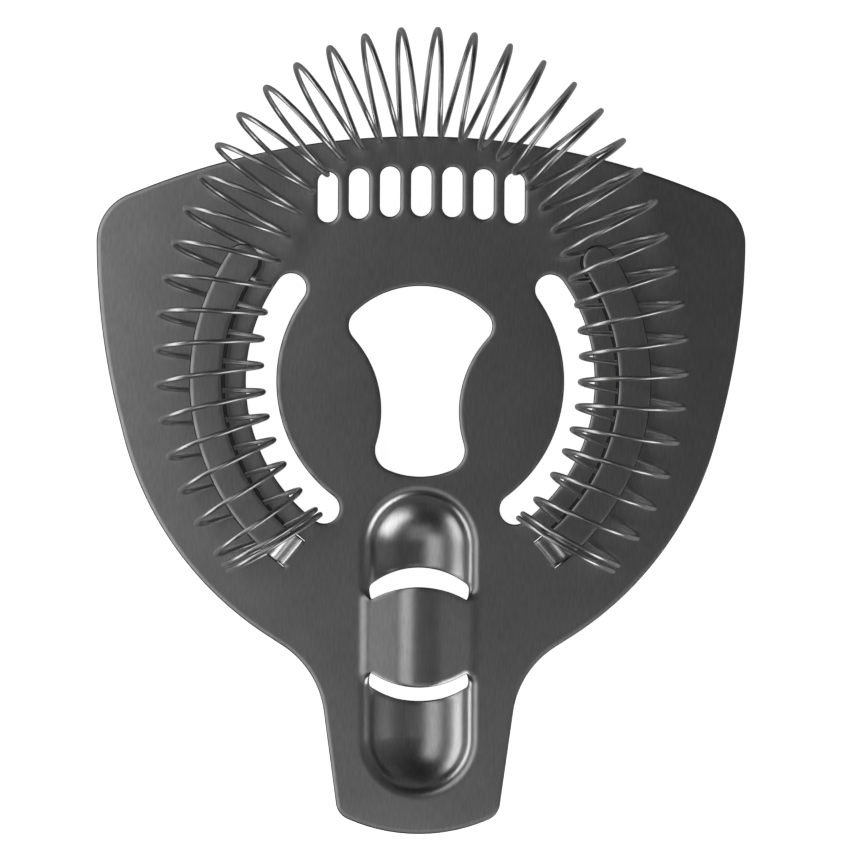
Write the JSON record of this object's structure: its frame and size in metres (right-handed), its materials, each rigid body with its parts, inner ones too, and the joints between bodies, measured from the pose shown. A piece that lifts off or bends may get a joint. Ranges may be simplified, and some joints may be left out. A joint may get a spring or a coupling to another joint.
{
  "type": "hawthorne strainer",
  "caption": "Cocktail strainer: a flat stamped plate with a short handle, drain openings and two curved arms that hold a U-shaped coil spring.",
  "frame": {"origin": "common centre of the two arms and the two crescent slots, on the spring-side face of the plate", "axes": "+X across the head, +Y from the handle towards the spring's front, +Z out of the spring side"},
  "size_m": [0.1104, 0.1363, 0.0248],
  "materials": {
    "plate": "dark brushed, coated",
    "wire": "dark polished, coated"
  },
  "bodies": {
    "plate": {"strainer_plate": "plate"},
    "spring": {"coil_spring": "wire"}
  },
  "joints": [
    {"name": "spring_squeeze", "type": "slide", "parent": "plate", "child": "spring", "axis": [0, -1, 0], "range_m": [0, 0.014], "stiffness_N_per_m": 300, "deforming": ["coil_spring"]}
  ]
}
